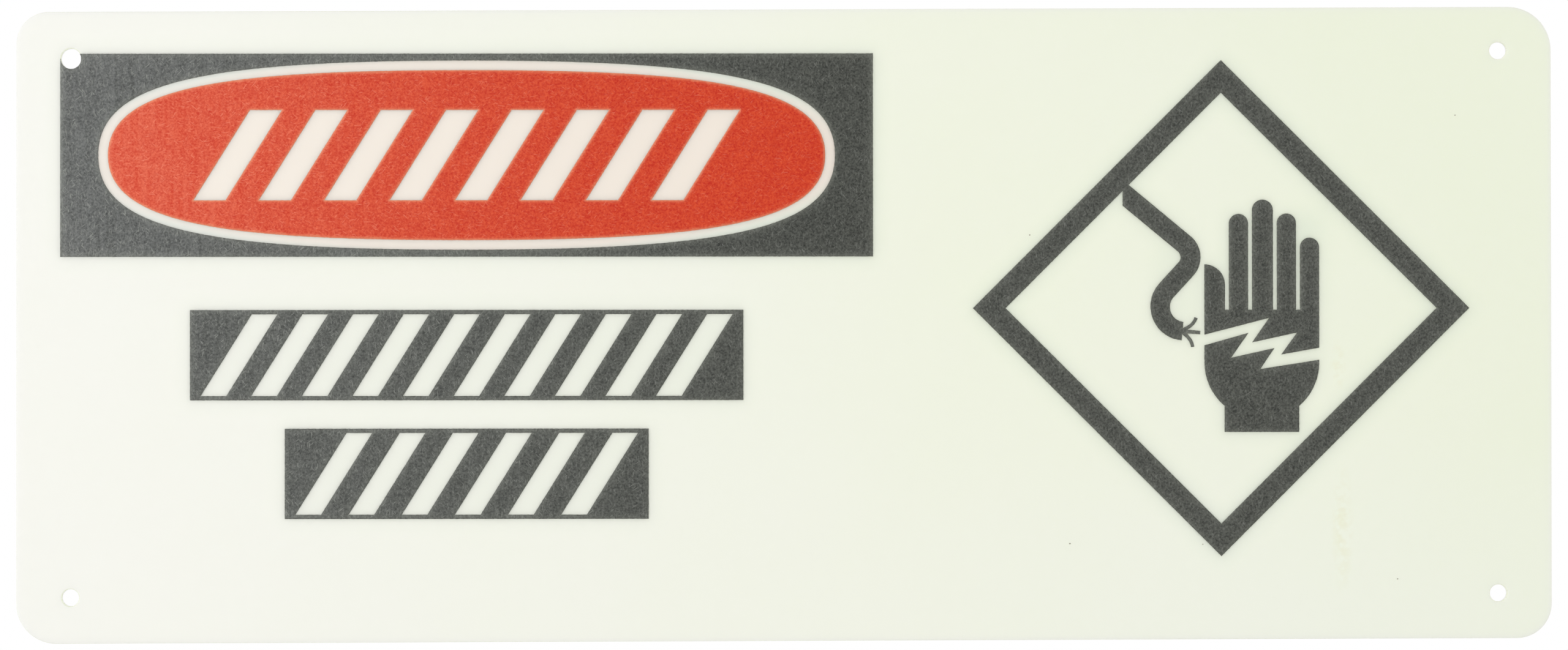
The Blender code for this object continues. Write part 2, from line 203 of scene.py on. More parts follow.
def noise(tree, vector, scale, detail=2.0, roughness=0.5):
    """A soft random pattern from 0 to 1, mostly between 0.3 and 0.7."""
    node = add(tree, "ShaderNodeTexNoise", Vector=vector, Scale=scale, Detail=detail, Roughness=roughness)
    return node.outputs["Fac"]


# %% [markdown]
# The other helpers work on what a pattern gives. The last one gives a finish its colour and its bump, and
# prints how many nodes it took.

# %% Values and colours


def change(tree, value, start, end, new_start, new_end):
    """Move a value from one range to another, and hold it inside."""
    node = tree.nodes.new("ShaderNodeMapRange")
    tree.links.new(value, node.inputs["Value"])
    for name, number in zip(("From Min", "From Max", "To Min", "To Max"), (start, end, new_start, new_end)):
        node.inputs[name].default_value = number
    return node.outputs["Result"]


def combine(tree, operation, first, second):
    """Arithmetic on two values, each a number or an output."""
    node = tree.nodes.new("ShaderNodeMath")
    node.operation = operation
    for socket, value in zip(node.inputs, (first, second)):
        if isinstance(value, bpy.types.NodeSocket):
            tree.links.new(value, socket)
        else:
            socket.default_value = value
    return node.outputs[0]


def weighted(tree, share, first, second):
    """The share of one value, and the rest of another."""
    parts = combine(tree, "MULTIPLY", first, share), combine(tree, "MULTIPLY", second, 1 - share)
    return combine(tree, "ADD", *parts)


def blend(tree, share, first, second):
    """Mix two colours by a share from 0 to 1."""
    node = tree.nodes.new("ShaderNodeMix")
    node.data_type = "RGBA"
    inputs = [socket for socket in node.inputs if socket.enabled]
    for socket, value in zip(inputs, (share, first, second)):
        if isinstance(value, bpy.types.NodeSocket):
            tree.links.new(value, socket)
        else:
            socket.default_value = value
    return next(socket for socket in node.outputs if socket.enabled)


def paint(finish, surface, colour, bump, strength, height):
    """Give a finish its colour, and a bump of this strength and height in metres."""
    tree = finish.node_tree
    tree.links.new(colour, surface.inputs["Base Color"])
    node = add(tree, "ShaderNodeBump", Height=bump, Strength=strength, Distance=height)
    tree.links.new(node.outputs[0], surface.inputs["Normal"])
    print(f"{finish.name}: {len(tree.nodes)} nodes")


# %% [markdown]
# Two soft shapes on the front serve the patches of colour in the plastic. A blurred oval is one change of
# range on the distance from its middle. A blurred rectangle is the product of two soft steps, one along each
# side.

# %% Soft shapes


def patch(tree, centre, half_width, half_height, softness):
    """An upright oval patch on the front: 1 inside, 0 outside, with a soft rim."""
    vector = pattern(tree, (1 / half_width, 0.0, 1 / half_height), 0.0, centre)
    distance = tree.nodes.new("ShaderNodeVectorMath")
    distance.operation = "LENGTH"
    tree.links.new(vector, distance.inputs[0])
    return change(tree, distance.outputs["Value"], 1 - softness, 1 + softness, 1.0, 0.0)


def soft_rectangle(tree, centre, half_width, half_height, turn, reach):
    """A rectangle whose sides are smooth steps that fall over the reach on both sides, multiplied."""
    places = add(tree, "ShaderNodeSeparateXYZ", Vector=pattern(tree, (1, 1, 1), turn, centre)).outputs
    steps = []
    for axis, half in (("X", half_width), ("Z", half_height)):
        away = combine(tree, "ABSOLUTE", places[axis], 0.0)
        step = change(tree, away, half - reach, half + reach, 1.0, 0.0)
        step.node.interpolation_type = "SMOOTHSTEP"
        steps.append(step)
    return combine(tree, "MULTIPLY", *steps)


# %% [markdown]
# The photograph shows the plastic a few per cent darker for several millimetres beside the ink and between
# the fingers. Subsurface scattering gave this only for the nearest millimetre or two, so the rest is painted.
# A blur of a sum is the sum of the blurs, so the print is taken as a few soft rectangles. The diamond's band
# is a turned square less a smaller one.

# %% Shade beside the ink
SHADE_COLOUR = linear(0, 0, 150)
SHADE_DEPTH = 0.17
SHADE_GROWTH = 0.001
SHADE_REACH = 0.005
OVAL_CENTRE = (-0.0893, 0.0, 0.0479)
DIAMOND_CENTRE = (0.1229, 0.0, 0.0047)

# Middle, half width, half height, turn in degrees and share of ink: header, captions, diamond, hand and wire
INKED_SHAPES = (
    (OVAL_CENTRE, 0.1143, 0.0286, 0.0, 1.0),
    ((-0.0893, 0.0, -0.0083), 0.0778, 0.0127, 0.0, 0.6),
    ((-0.0893, 0.0, -0.0417), 0.0511, 0.0127, 0.0, 0.6),
    (DIAMOND_CENTRE, 0.0494, 0.0494, 45.0, 1.0),
    (DIAMOND_CENTRE, 0.0429, 0.0429, 45.0, -1.0),
    ((0.1378, 0.0, 0.0179), 0.0127, 0.0126, 0.0, 0.8),
    ((0.1209, 0.0, 0.0109), 0.0027, 0.0056, 0.0, 0.8),
    ((0.1344, 0.0, -0.0067), 0.0161, 0.0098, 0.0, 0.5),
    ((0.1344, 0.0, -0.0244), 0.0105, 0.0058, 0.0, 0.8),
    ((0.1054, 0.0, 0.0287), 0.0115, 0.0028, -39.7, 0.6),
    ((0.1098, 0.0, 0.0090), 0.0055, 0.0115, 0.0, 0.5),
)


def shade_of_ink(tree):
    """The sum of the blurred shapes, each grown a little, or shrunk where its share is negative."""
    total = 0.0
    for centre, half_width, half_height, turn, share in INKED_SHAPES:
        grown = math.copysign(SHADE_GROWTH, share)
        blurred = soft_rectangle(tree, centre, half_width + grown, half_height + grown, turn, SHADE_REACH)
        total = combine(tree, "ADD", combine(tree, "MULTIPLY", blurred, share), total)
    return combine(tree, "MULTIPLY", total, SHADE_DEPTH)


print("shapes that shade the plastic:", len(INKED_SHAPES))

# %% [markdown]
# The sheet is a photoluminescent plastic: a cloudy, greenish white that glows in the dark. It isn't quite
# solid to light, and subsurface scattering shows that. It has yellowed slightly to the right and upwards, and
# a cloud of tone beside the header is greener, while one in the lower right corner is paler. The plastic
# that shows round and inside the oval is warmer. A long drip has left two faint stains at the right.

# %% Glow plastic
SHEET_WIDTH = 0.4318
PLASTIC_LEFT = linear(246, 248, 228)
PLASTIC_RIGHT = linear(231, 243, 209)
YELLOWING_HEIGHT = 0.09
YELLOWING_RISE = 0.13
CLOUD_SCALE = 22.0
CLOUDINESS = 0.05
CLOUD_SOFTNESS = 0.8
UNDER_OVAL_LEFT = linear(245, 226, 212)
UNDER_OVAL_RIGHT = linear(236, 218, 204)
UNDER_OVAL_RANGE = (0.05, 0.53)
UNDER_OVAL_HALF = (0.109, 0.0275)
UNDER_OVAL_SOFTNESS = 0.04
PLASTIC_STAIN = linear(226, 228, 190)
STAIN_SOFTNESS = 0.6
BLOTCH_SCALE = 420.0
STAINS = (((0.1570, 0.0, -0.0575), 0.0022, 0.0125), ((0.1558, 0.0, -0.0120), 0.0016, 0.0052))
FACE_GRAIN_SCALE = 1500.0
FACE_BUMP = (0.08, 0.00002)
LIGHT_REACH = 0.006

# Colour, middle, half width, half height and share of the two clouds of tone
CLOUDS = (
    (linear(231, 251, 202), (0.0500, 0.0, 0.0250), 0.0400, 0.0650, 0.25),
    (linear(239, 251, 225), (0.1550, 0.0, -0.0850), 0.0750, 0.0320, 0.40),
)


def let_light_in(surface):
    """Let light creep under a surface, alike in all colours."""
    surface.inputs["Subsurface Weight"].default_value = 1.0
    surface.inputs["Subsurface Radius"].default_value = (1.0, 1.0, 1.0)
    surface.inputs["Subsurface Scale"].default_value = LIGHT_REACH


def glow_plastic_finish():
    """The sheet's front: yellowing, clouds and shade, then the warm ground of the oval, and the stains."""
    finish, tree, surface = new_finish("glow_plastic", 0.42)
    across = change(tree, along(tree, "X"), -SHEET_WIDTH / 2, SHEET_WIDTH / 2, 0.0, 1.0)
    heights = (-YELLOWING_HEIGHT, YELLOWING_HEIGHT)
    upward = change(tree, along(tree, "Z"), *heights, 1 - YELLOWING_RISE, 1 + YELLOWING_RISE)
    cloud = change(tree, noise(tree, pattern(tree), CLOUD_SCALE), 0.3, 0.7, -CLOUDINESS, CLOUDINESS)
    yellowing = combine(tree, "ADD", combine(tree, "MULTIPLY", across, upward), cloud)
    colour = blend(tree, yellowing, PLASTIC_LEFT, PLASTIC_RIGHT)
    for tinge, centre, half_width, half_height, share in CLOUDS:
        soft = patch(tree, centre, half_width, half_height, CLOUD_SOFTNESS)
        colour = blend(tree, combine(tree, "MULTIPLY", soft, share), colour, tinge)
    colour = blend(tree, shade_of_ink(tree), colour, SHADE_COLOUR)
    warmth = change(tree, across, *UNDER_OVAL_RANGE, 0.0, 1.0)
    under_oval = blend(tree, warmth, UNDER_OVAL_LEFT, UNDER_OVAL_RIGHT)
    ground = patch(tree, OVAL_CENTRE, *UNDER_OVAL_HALF, UNDER_OVAL_SOFTNESS)
    colour = blend(tree, ground, colour, under_oval)
    blotches = change(tree, noise(tree, pattern(tree), BLOTCH_SCALE, 3.0), 0.42, 0.62, 0.0, 0.45)
    for centre, half_width, half_height in STAINS:
        stain = patch(tree, centre, half_width, half_height, STAIN_SOFTNESS)
        colour = blend(tree, combine(tree, "MULTIPLY", stain, blotches), colour, PLASTIC_STAIN)
    let_light_in(surface)
    paint(finish, surface, colour, noise(tree, pattern(tree), FACE_GRAIN_SCALE), *FACE_BUMP)
    return finish


glow_plastic = glow_plastic_finish()

# %% [markdown]
# The cut sides and the hole walls show the plastic in depth, which is yellower and greener than its face. A
# saw or a punch leaves fine marks there that run through the thickness, so the noise is stretched along the
# thickness.

# %% Cut edge
CUT_DARK = linear(226, 236, 196)
CUT_LIGHT = linear(240, 246, 216)
MARKS_STRETCH = (1.0, 0.06, 1.0)
MARKS_SCALE = 2600.0
MARKS_BUMP = (0.5, 0.00003)


def cut_edge_finish():
    """Plastic seen through its cut sides, with tone and notches from one stretched noise."""
    finish, tree, surface = new_finish("cut_edge", 0.55)
    marks = noise(tree, pattern(tree, MARKS_STRETCH), MARKS_SCALE)
    let_light_in(surface)
    colour = blend(tree, change(tree, marks, 0.3, 0.7, 0.0, 1.0), CUT_DARK, CUT_LIGHT)
    paint(finish, surface, colour, marks, *MARKS_BUMP)
    return finish


cut_edge = cut_edge_finish()

# %% [markdown]
# The glow pigment lies in the front of the sheet, on a white backing that hides the print from behind. The
# back could scatter light inside like the front, but then the print would show through it, so it stays a
# plain diffuse white with a slight cloud, the faint drawn lines of a rolled sheet, and a fine bump.

# %% Sheet back
BACKING_LIGHT = linear(244, 246, 236)
BACKING_DARK = linear(236, 239, 226)
BACK_CLOUD_SCALE = 30.0
BACK_CLOUD_SHARE = 0.7
DRAWN_STRETCH = (0.03, 1.0, 1.0)
DRAWN_SCALE = 700.0
DRAWN_BUMP = (0.1, 0.00002)


def sheet_back_finish():
    """A white backing, clouded, with lines drawn along the sheet."""
    finish, tree, surface = new_finish("sheet_back", 0.5)
    drawn = noise(tree, pattern(tree, DRAWN_STRETCH), DRAWN_SCALE)
    tone = weighted(tree, BACK_CLOUD_SHARE, noise(tree, pattern(tree), BACK_CLOUD_SCALE, 3.0), drawn)
    colour = blend(tree, change(tree, tone, 0.3, 0.7, 0.0, 1.0), BACKING_DARK, BACKING_LIGHT)
    paint(finish, surface, colour, drawn, *DRAWN_BUMP)
    return finish


sheet_back = sheet_back_finish()

# %% [markdown]
# The sheet's own surface replaces the CAD one, so that its edges can be properly rounded and its holes can
# look punched, with a softer rim at the front, where the punch went in, than at the back. Seen from the front
# the sheet divides into four corner blocks, each with its hole, and three plain bands between them. The edges
# are the same outline again, drawn at the insets and depths of a rounded profile.

# %% Sheet sizes
SHEET_HEIGHT = 0.1778
SHEET_RISE = 0.0013
SHEET_THICKNESS = 0.0015
EDGE_ROUND = 0.00016
HOLE_FRONT_ROUND = 0.00026
HOLE_BACK_ROUND = 0.00008
BLOCK = 0.0290

# Side and level of each corner, its radius, and its hole: in from the side, in from the edge, and diameter
CORNERS = (
    (-1, 1, 0.0090, (0.0153, 0.0132, 0.0057)),
    (1, 1, 0.0122, (0.0149, 0.0123, 0.0048)),
    (1, -1, 0.0098, (0.0150, 0.0127, 0.0048)),
    (-1, -1, 0.0113, (0.0152, 0.0129, 0.0048)),
)
STRAIGHT_STEPS = 10
ARC_STEPS = 18
INNER_STEPS = 14
FAN_STEPS = 6
BAND_STEPS = 40
ROUND_STEPS = 5


def edge_profile(front, back):
    """Insets and depths from the front face over a rounded edge to the back face.

    A quarter circle of the front radius, the straight wall, and a quarter circle of the back radius.
    """
    turn = np.linspace(0, math.pi / 2, ROUND_STEPS)
    inset = np.concatenate((front * (1 - np.sin(turn)), back * (1 - np.cos(turn))))
    depth = np.concatenate((-SHEET_THICKNESS + front * (1 - np.cos(turn)), -back * (1 - np.sin(turn))))
    return inset, depth


def on_sheet(insets, side, level, depth):
    """Points of the sheet from distances in from a corner: mirrored to that corner, raised by the slope."""
    x = side * (SHEET_WIDTH / 2 - insets[..., 0])
    z = level * (SHEET_HEIGHT / 2 - insets[..., 1]) + x * SHEET_RISE / SHEET_WIDTH
    return np.stack((x, np.broadcast_to(depth, x.shape), z), axis=-1)


outer_inset, outer_depth = edge_profile(EDGE_ROUND, EDGE_ROUND)
hole_inset, hole_depth = edge_profile(HOLE_FRONT_ROUND, HOLE_BACK_ROUND)
print("points round an edge:", len(outer_inset))

# %% [markdown]
# A corner block is a fan of straight lines from the hole to the block's outline. A fan keeps the rim of the
# hole round, and lets each line of the outline meet the next block or the edge at the same points.

# %% Corner blocks
FACE, EDGE, BACK = 0, 1, 2

# Depth, rounding of the holes' rims, and finish of the front and of the back
FLAT_SIDES = ((-SHEET_THICKNESS, HOLE_FRONT_ROUND, FACE), (0.0, HOLE_BACK_ROUND, BACK))


def rim_of_block(radius, inset):
    """The two outer sides of a corner block, as distances in from the sheet's side and edge.

    A straight run, a quarter circle round a fixed centre with a radius less the inset, and a straight run.
    """
    run = np.linspace(BLOCK, radius, STRAIGHT_STEPS + 1)[:-1]
    angle = np.linspace(0, math.pi / 2, ARC_STEPS + 1)
    arc_in = radius - (radius - inset) * np.sin(angle)
    arc_up = radius - (radius - inset) * np.cos(angle)
    side = np.concatenate((run, arc_in, np.full(len(run), inset)))
    edge = np.concatenate((np.full(len(run), inset), arc_up, run[::-1]))
    return np.stack((side, edge), axis=-1)


def outline_of_block(radius, inset):
    """The rim of a corner block, closed by its two inner sides."""
    rim = rim_of_block(radius, inset)
    run = np.linspace(inset, BLOCK, INNER_STEPS + 1)
    top = np.stack((run, np.full(len(run), BLOCK)), axis=-1)[1:]
    right = np.stack((np.full(len(run), BLOCK), run[::-1]), axis=-1)[1:]
    return np.concatenate((rim, top, right))


def block_parts(side, level, radius, hole):
    """A corner block: a fan from the hole to the outline on each flat side, the hole's wall, and the rim."""
    middle = np.array(hole[:2])
    hole_radius = hole[2] / 2
    outline = outline_of_block(radius, EDGE_ROUND)
    away = outline - middle
    heading = away / np.linalg.norm(away, axis=-1, keepdims=True)
    share = np.linspace(0, 1, FAN_STEPS + 1)[:, None, None]
    parts = []
    for depth, rim_round, number in FLAT_SIDES:
        start = middle + heading * (hole_radius + rim_round)
        fan = on_sheet(start + (outline - start) * share, side, level, depth)
        parts.append((grid_part(fan), number, False))
    wall = middle + heading * (hole_radius + hole_inset[:, None, None])
    parts.append((grid_part(on_sheet(wall, side, level, hole_depth[:, None])), EDGE, True))
    rim = np.stack([rim_of_block(radius, inset) for inset in outer_inset])
    parts.append((grid_part(on_sheet(rim, side, level, outer_depth[:, None])), EDGE, True))
    return parts


corner_parts = [part for corner in CORNERS for part in block_parts(*corner)]
print("parts of the corner blocks:", len(corner_parts))

# %% [markdown]
# The bands are plain grids between the blocks, on both flat sides, with points in the same places as the
# blocks have. The straight edges run along them with the same rounded profile.

# %% Bands and straight edges


def band(run_in, run_up):
    """A band between blocks, as a grid of distances in from the lower left corner."""
    return np.stack(np.meshgrid(run_in, run_up), axis=-1)


strip = np.linspace(EDGE_ROUND, BLOCK, INNER_STEPS + 1)
long_run = np.linspace(BLOCK, SHEET_WIDTH - BLOCK, BAND_STEPS + 1)
tall_run = np.linspace(BLOCK, SHEET_HEIGHT - BLOCK, BAND_STEPS // 2 + 1)
full_run = np.concatenate((strip, long_run[1:-1], SHEET_WIDTH - strip[::-1]))
band_parts = []
for flat_depth, _, flat_number in FLAT_SIDES:
    for run_in, run_up in ((full_run, tall_run), (long_run, strip), (long_run, SHEET_HEIGHT - strip)):
        flat = on_sheet(band(run_in, run_up), -1, -1, flat_depth)
        band_parts.append((grid_part(flat), flat_number, False))
inset_column = outer_inset[:, None]
for edge_in, edge_up in (
    (long_run, inset_column),
    (long_run, SHEET_HEIGHT - inset_column),
    (inset_column, tall_run),
    (SHEET_WIDTH - inset_column, tall_run),
):
    straight = np.stack(np.broadcast_arrays(edge_in, edge_up), axis=-1)
    band_parts.append((grid_part(on_sheet(straight, -1, -1, outer_depth[:, None])), EDGE, True))

sheet = closed_piece("plastic_sheet", corner_parts + band_parts, (glow_plastic, cut_edge, sheet_back))
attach(sheet, "root")
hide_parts("sign_sheet")

# %% [markdown]
# Screen ink isn't one flat grey. Its film has a fine grain, about a third of a millimetre across, pale fibres
# of lint lie in it, and handling has rubbed the left end of the print paler. The grain is a fine noise, and
# each family of fibres is a noise stretched along one direction and cut off so that only its highest ridges
# remain. Close to its edge the film is also painted a little lighter, for the light that creeps under it: an
# attribute of the mesh, edge_glow, tells how much.

# %% Ink helpers
GRAIN_SCALE = 1700.0
GRAIN_SHARE = 0.88
MOTTLE_SCALE = 260.0
TONE_SHARE = 0.75
STREAK_STRETCH = (1.0, 1.0, 0.06)
STREAK_SCALE = 900.0
INK_BUMP = (0.35, 0.00003)
RUBBED_FROM_X = -0.205
RUBBED_TO_X = 0.02
FIBRE_THIN = 3400.0
FIBRE_LONG = 380.0
FIBRE_THRESHOLD = 0.66
FIBRE_SOFTNESS = 0.06
INK_SPECULAR = 0.25
UPRIGHT_FIBRES = (6.0, -11.0, 38.0, -52.0)
LEVEL_FIBRES = (84.0, -76.0, 52.0, -38.0)


def fibres(tree, turns):
    """Short hairlines in a few directions: stretched noise above a threshold, the strongest of all."""
    total = None
    for number, turn in enumerate(turns):
        shift = 0.37 * number
        ridge = noise(tree, pattern(tree, (FIBRE_THIN, 1.0, FIBRE_LONG), turn, (shift, 0, shift)), 1.0, 1.0)
        line = change(tree, ridge, FIBRE_THRESHOLD, FIBRE_THRESHOLD + FIBRE_SOFTNESS, 0.0, 1.0)
        total = line if total is None else combine(tree, "MAXIMUM", total, line)
    return total


def ink_finish(name, colours, rubbed_colours, rubbing, lint, edge_glow):
    """Grainy ink with lint, rubbed paler and more streaky to the left, and lighter at its edges.

    Each pair of colours is mixed by the tone: fine grain and soft mottle, and upright streaks where rubbed.
    The rubbing is its share at the left end, and the power of the distance with which it fades to the right.
    The lint is its colour and the directions of its fibres, and the edge glow is its share and its colour.
    """
    rub_share, rub_power = rubbing
    lint_colour, turns = lint
    glow_share, glow_colour = edge_glow
    ink, tree, surface = new_finish(name, 0.5)
    surface.inputs["Specular IOR Level"].default_value = INK_SPECULAR
    rub = change(tree, along(tree, "X"), RUBBED_FROM_X, RUBBED_TO_X, 1.0, 0.0)
    rub = combine(tree, "POWER", rub, rub_power)
    grain = noise(tree, pattern(tree), GRAIN_SCALE, 2.0, 0.8)
    tone = weighted(tree, GRAIN_SHARE, grain, noise(tree, pattern(tree), MOTTLE_SCALE))
    streak = noise(tree, pattern(tree, STREAK_STRETCH), STREAK_SCALE, 1.0)
    streaked = weighted(tree, TONE_SHARE, tone, streak)
    colour = blend(tree, change(tree, tone, 0.33, 0.67, 0.0, 1.0), *colours)
    rubbed = blend(tree, change(tree, streaked, 0.35, 0.65, 0.0, 1.0), *rubbed_colours)
    colour = blend(tree, combine(tree, "MULTIPLY", rub, rub_share), colour, rubbed)
    visible = combine(tree, "ADD", combine(tree, "MULTIPLY", rub, 0.5), 0.3)
    colour = blend(tree, combine(tree, "MULTIPLY", fibres(tree, turns), visible), colour, lint_colour)
    # Painted light at the ink's edge, standing for the light that creeps under it
    glow = tree.nodes.new("ShaderNodeAttribute")
    glow.attribute_name = "edge_glow"
    colour = blend(tree, combine(tree, "MULTIPLY", glow.outputs["Fac"], glow_share), colour, glow_colour)
    paint(ink, surface, colour, tone, *INK_BUMP)
    return ink


# %% [markdown]
# The print has two inks. The dark one is a little thinner and lighter on the captions, the diamond and the
# hand than on the header. The red one lies over the plastic alone, so its edge takes a warm rim of painted
# light. The painted light for what creeps under an edge is a pale green for the dark ink.

# %% Dark ink and red ink
DARK_INK = (linear(33, 35, 31), linear(87, 89, 83))
THIN_DARK_INK = (linear(42, 44, 40), linear(94, 96, 90))
DARK_RUBBED = (linear(86, 88, 88), linear(140, 142, 142))
RED_INK = (linear(189, 29, 4), linear(218, 76, 37))
RED_RUBBED = (linear(214, 70, 44), linear(242, 132, 104))
DARK_LINT = linear(150, 152, 146)
RED_LINT = linear(240, 140, 112)
DARK_RUBBING = (0.54, 1.3)
THIN_RUBBING = (0.38, 1.3)
RED_RUBBING = (0.60, 1.9)
# Share and colour of the painted light at each ink's edge
DARK_GLOW = (0.09, linear(226, 230, 214))
THIN_GLOW = (0.06, linear(226, 230, 214))
RED_GLOW = (0.5, linear(250, 172, 132))

dark_lint = (DARK_LINT, UPRIGHT_FIBRES)
red_lint = (RED_LINT, LEVEL_FIBRES)
dark_ink = ink_finish("screen_ink_dark", DARK_INK, DARK_RUBBED, DARK_RUBBING, dark_lint, DARK_GLOW)
thin_ink = ink_finish("screen_ink_thin", THIN_DARK_INK, DARK_RUBBED, THIN_RUBBING, dark_lint, THIN_GLOW)
red_ink = ink_finish("screen_ink_red", RED_INK, RED_RUBBED, RED_RUBBING, red_lint, RED_GLOW)

# %% [markdown]
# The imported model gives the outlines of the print. Its front faces are a few long triangles, so an outline is
# read from them as the edges that only one front triangle uses. Every edge is then divided finely. Where the
# outline bends gently it follows a smooth curve, so that the oval and the fingertips show no corners, and a
# very small ripple along it stands for the mesh of the screen that the ink was pressed through.

# %% Outlines of the print
OUTLINE_STEP = 0.0003
GENTLE_DEGREES = 25.0
LONGEST_CURVED = 0.0085
RIPPLE = 0.000015
RIPPLE_WAVES = 16


def outline_of(node):
    """Corners of a node's front face as x and z, and the number of the corner that follows each one."""
    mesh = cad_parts[node].data
    place = np.empty(3 * len(mesh.vertices))
    mesh.vertices.foreach_get("co", place)
    triangles = np.empty(3 * len(mesh.polygons), dtype=np.int32)
    mesh.polygons.foreach_get("vertices", triangles)
    rounded = np.round(place.reshape(-1, 3) / WELD_DISTANCE).astype(np.int64)
    corners, number = np.unique(rounded, axis=0, return_inverse=True)
    triangles = number.ravel()[triangles].reshape(-1, 3)
    at_front = corners[:, 1] == corners[:, 1].min()
    triangles = triangles[at_front[triangles].all(axis=1)]
    start = triangles.ravel()
    end = np.roll(triangles, -1, axis=1).ravel()
    alone = ~np.isin(start * len(corners) + end, end * len(corners) + start)
    used, order = np.unique(start[alone], return_index=True)
    after = np.searchsorted(used, end[alone][order])
    return corners[used][:, (0, 2)] * WELD_DISTANCE, after


def divided(corners, after):
    """Divide an outline's edges into equal steps, along a Hermite curve between gentle bends.

    With t from 0 to 1, ends p and q, length L and directions m and n at the ends, a point of an edge is
    p (1 + 2t)(1 - t)^2 + q t^2 (3 - 2t) + L m t (1 - t)^2 - L n t^2 (1 - t).
    """
    before = np.empty_like(after)
    before[after] = np.arange(len(after))
    run = corners[after] - corners
    length = np.linalg.norm(run, axis=1)
    heading = run / length[:, None]
    facing = (heading * heading[before]).sum(axis=1)
    curved = length < LONGEST_CURVED
    gentle = (facing > math.cos(math.radians(GENTLE_DEGREES))) & curved & curved[before]
    through = run + run[before]
    through /= np.linalg.norm(through, axis=1, keepdims=True)
    leaving = np.where(gentle[:, None], through, heading)
    arriving = np.where(gentle[after][:, None], through[after], heading)
    steps = np.ceil(length / OUTLINE_STEP).astype(int)
    first = np.cumsum(steps) - steps
    edge = np.repeat(np.arange(len(steps)), steps)
    t = ((np.arange(len(edge)) - first[edge]) / steps[edge])[:, None]
    points = corners[edge] * (1 + 2 * t) * (1 - t) ** 2 + corners[after[edge]] * t**2 * (3 - 2 * t)
    slopes = leaving[edge] * t * (1 - t) ** 2 - arriving[edge] * t**2 * (1 - t)
    points = points + slopes * length[edge][:, None]
    next_point = np.arange(len(edge)) + 1
    next_point[first + steps - 1] = first[after]
    return points, next_point


def rippled(points, next_point):
    """Move an outline's points in and out by a sum of waves, each with its own angle and length."""
    wave = np.arange(RIPPLE_WAVES)
    angle = 2.4 * wave
    length = 0.0004 + 0.0012 * (0.618 * wave % 1)
    steps = 2 * math.pi * np.stack((np.cos(angle), np.sin(angle))) / length
    height = RIPPLE * math.sqrt(2 / RIPPLE_WAVES) * np.cos(points @ steps + angle).sum(axis=1)
    ahead = points[next_point] - points
    ahead /= np.linalg.norm(ahead, axis=1, keepdims=True)
    return points + height[:, None] * np.stack((-ahead[:, 1], ahead[:, 0]), axis=-1)


outlines = {node: outline_of(node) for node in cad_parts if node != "sign_sheet"}
for node, (corners, _) in sorted(outlines.items()):
    print(f"{node}: {len(corners)} corners")

# %% [markdown]
# An ink film is a tenth of a millimetre thick and thins towards its edge. It could be a flat solid, but a
# flat face without inner points can't carry the thinning, nor the faint light that creeps through the plastic
# under its rim. So a grid of points covers the inside, and Blender's constrained Delaunay triangulation joins
# them with the outline.

# %% Filling an outline
FILM_STEP = 0.0006
CHUNK = 1500


def in_chunks(work, places):
    """Apply a function to many places, a part at a time, so that its large arrays fit in memory."""
    return np.concatenate([work(part) for part in np.array_split(places, 1 + len(places) // CHUNK)])


def is_inside(places, corners, after):
    """Whether a line to the right from each place crosses an odd number of the outline's edges."""
    start, end = corners, corners[after]
    rise = end[:, 1] - start[:, 1]
    slope = (end[:, 0] - start[:, 0]) / np.where(rise == 0, 1.0, rise)
    x, z = places[:, :1], places[:, 1:]
    crosses = ((start[:, 1] > z) != (end[:, 1] > z)) & (x < start[:, 0] + (z - start[:, 1]) * slope)
    return crosses.sum(axis=1) % 2 == 1


def distances(places, points):
    """Distance from every place to every point of an outline."""
    return np.hypot(places[:, :1] - points[:, 0], places[:, 1:] - points[:, 1])


def triangulated(shape, points, next_point):
    """Inside points on a grid, joined with the outline into triangles that fill it.

    The shape is the outline before its division, which has few edges to test the grid against.
    """
    low, high = points.min(axis=0), points.max(axis=0)
    columns, rows = (np.arange(low[axis], high[axis], FILM_STEP) for axis in (0, 1))
    grid = np.stack(np.meshgrid(columns, rows), axis=-1).reshape(-1, 2)
    grid = grid[in_chunks(lambda part: is_inside(part, *shape), grid)]
    near = in_chunks(lambda part: distances(part, points).min(axis=1), grid)
    places = np.concatenate((points, grid[near > 0.6 * FILM_STEP]))
    rim = np.stack((np.arange(len(points)), next_point), axis=-1)
    places, _, triangles, _, _, _ = delaunay_2d_cdt(places.tolist(), rim.tolist(), [], 1, 1e-9)
    places, triangles = np.array(places), np.array(triangles)
    doubtful = (triangles < len(points)).all(axis=1)
    middles = places[triangles[doubtful]].mean(axis=1)
    kept = np.ones(len(triangles), dtype=bool)
    kept[doubtful] = in_chunks(lambda part: is_inside(part, points, next_point), middles)
    return places, triangles[kept]


# %% [markdown]
# Each point of a film learns two numbers: its distance to the outline, which gives the film its shoulder, and
# the sum of all that the outline sends it, which gives the ink its painted light at the edge.

# %% Ink films
FILM_THICKNESS = 0.0001
FILM_SINK = 0.00002
FILM_BASE = -SHEET_THICKNESS + FILM_SINK
FILM_SHOULDER = 0.00035
FILM_EDGE_SHARE = 0.5
GLOW_REACH = {"dark_ink": 0.00055, "red_ink": 0.0002}
GLOW_MOST = 3.0


def at_depth(places, depth):
    """Places in x and z as points at one depth."""
    return np.stack((places[:, 0], np.full(len(places), depth), places[:, 1]), axis=-1)


